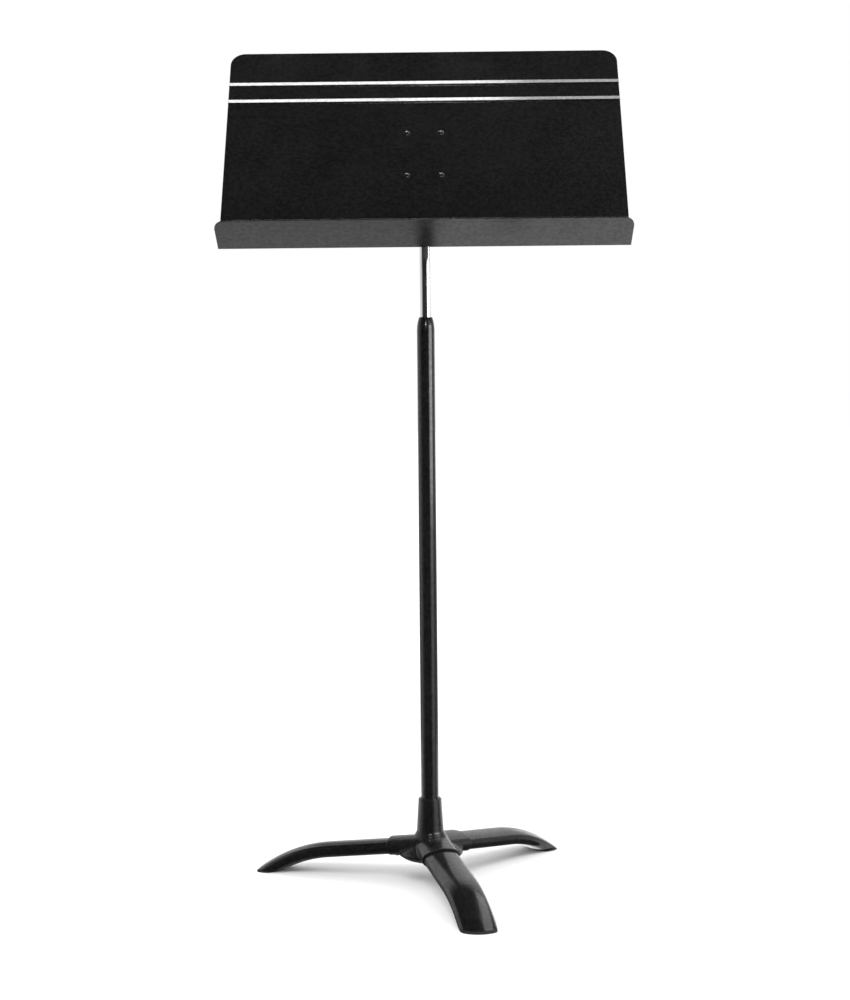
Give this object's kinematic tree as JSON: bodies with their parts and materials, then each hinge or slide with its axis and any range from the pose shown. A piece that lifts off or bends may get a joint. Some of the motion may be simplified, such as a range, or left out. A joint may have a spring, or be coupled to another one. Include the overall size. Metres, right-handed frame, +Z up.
{
  "type": "music stand",
  "caption": "Tripod music stand with a folded sheet-metal desk and ledge on a telescopic post; height, swivel and tilt are held by friction.",
  "frame": {"origin": "point of the floor under the post's axis", "axes": "+Z up along the post, -Y towards the player, who sees the desk's face, +X to the player's right"},
  "size_m": [0.508, 0.4131, 1.0902],
  "materials": {
    "desk_coat": "satin",
    "bracket_coat": "satin",
    "rivet_coat": "satin",
    "tube_coat": "gloss",
    "leg_coat": "gloss",
    "hub_iron": "satin",
    "knuckle_iron": "satin",
    "chrome": "polished",
    "zinc_steel": "satin",
    "spring_steel": "satin",
    "fibre": "matte",
    "nylon": "satin",
    "foot_rubber": "matte"
  },
  "bodies": {
    "base": {"base_hub": "hub_iron", "outer_tube": "tube_coat", "leg_front": "leg_coat", "leg_right": "leg_coat", "leg_left": "leg_coat", "foot_front": "foot_rubber", "foot_right": "foot_rubber", "foot_left": "foot_rubber", "leg_rivets": "rivet_coat", "collar_set_screw": "zinc_steel", "clutch_sleeve": "spring_steel", "clutch_ring": "spring_steel"},
    "slider": {"rod_guide": "nylon"},
    "post": {"inner_rod": "chrome", "rod_end_plug": "zinc_steel", "guide_retainer": "spring_steel", "tilt_knuckle": "knuckle_iron", "knuckle_pin": "zinc_steel"},
    "desk": {"desk_panel": "desk_coat", "tilt_bracket": "bracket_coat", "bracket_rivets": "rivet_coat", "pivot_bolt": "zinc_steel", "pivot_nut": "zinc_steel", "spring_washers": "spring_steel", "friction_washers": "fibre"}
  },
  "joints": [
    {"name": "height_slide", "type": "slide", "parent": "base", "child": "slider", "axis": [0, 0, 1], "range_m": [-0.158, 0.4]},
    {"name": "swivel", "type": "hinge", "parent": "slider", "child": "post", "pos_m": [0, 0, 0.2689], "axis": [0, 0, 1], "continuous": true},
    {"name": "tilt", "type": "hinge", "parent": "post", "child": "desk", "pos_m": [0, 0, 0.928], "axis": [-1, 0, 0], "range_deg": [-31.2, 58.8]}
  ]
}
